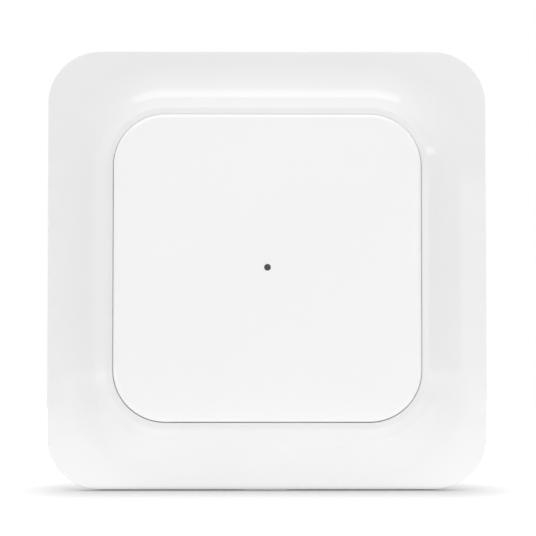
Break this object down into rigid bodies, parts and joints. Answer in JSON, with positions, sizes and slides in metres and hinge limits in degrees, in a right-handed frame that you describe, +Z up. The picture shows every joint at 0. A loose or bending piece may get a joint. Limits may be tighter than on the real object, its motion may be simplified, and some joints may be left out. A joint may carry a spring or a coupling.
{
  "type": "radio wall transmitter",
  "caption": "Flat battery radio wall transmitter: square rocker plate with a status light hole, in a coved white frame that snaps on a screw-on wall plate.",
  "frame": {"origin": "centre of the wall plate's back face, on the wall", "axes": "+Z up, -Y out of the wall towards the user, +X to the user's right"},
  "size_m": [0.08, 0.0122, 0.08],
  "materials": {
    "frame_white": "gloss moulded white",
    "plate_white": "gloss moulded white",
    "pipe_smoke": "smoked clear plastic",
    "wall_plate_white": "fine spark-eroded texture",
    "tub_grey": "fine spark-eroded texture",
    "carrier_grey": "satin moulded",
    "silicone": "soft satin",
    "carbon": "dull",
    "board_green": "solder mask over glass laminate",
    "gold_plate": "bright plating",
    "led_body": "clear resin",
    "cell_steel": "fine circular brushing",
    "seal_black": "dull",
    "spring_steel": "bright rolled",
    "shield_steel": "tinned",
    "chip_black": "moulded epoxy",
    "ceramic_tan": "fired ceramic",
    "tantalum_amber": "moulded epoxy",
    "copper_wire": "bare copper",
    "button_grey": "satin moulded",
    "screw_zinc": "zinc plated"
  },
  "bodies": {
    "transmitter": {"cover_frame": "frame_white", "wall_plate": "wall_plate_white", "module_tub": "tub_grey", "module_cover": "tub_grey", "module_screws": "screw_zinc", "key_mat": "silicone", "contact_pills": "carbon", "circuit_board": "board_green", "contact_pads": "gold_plate", "status_led": "led_body", "cell_can": "cell_steel", "cell_cap": "cell_steel", "cell_seal": "seal_black", "positive_contact": "spring_steel", "negative_contact": "spring_steel", "radio_board": "board_green", "radio_shield": "shield_steel", "controller": "chip_black", "controller_legs": "spring_steel", "crystal": "shield_steel", "buffer_capacitor": "tantalum_amber", "chip_capacitors": "ceramic_tan", "chip_resistors": "chip_black", "antenna_wire": "copper_wire", "learn_switch_base": "chip_black", "learn_switch_cover": "spring_steel"},
    "rocker": {"rocker_plate": "plate_white", "rocker_carrier": "carrier_grey", "light_pipe": "pipe_smoke"},
    "learn_key": {"learn_button": "button_grey", "learn_stem": "chip_black"}
  },
  "joints": [
    {"name": "rocker_tilt", "type": "hinge", "parent": "transmitter", "child": "rocker", "pos_m": [0, -0.0094, 0], "axis": [1, 0, 0], "range_deg": [-2, 2], "stiffness_Nm_per_rad": 2, "deforming": ["key_mat", "contact_pills"]},
    {"name": "learn_press", "type": "slide", "parent": "transmitter", "child": "learn_key", "axis": [0, -1, 0], "range_m": [0, 0.0003], "stiffness_N_per_m": 5000}
  ]
}
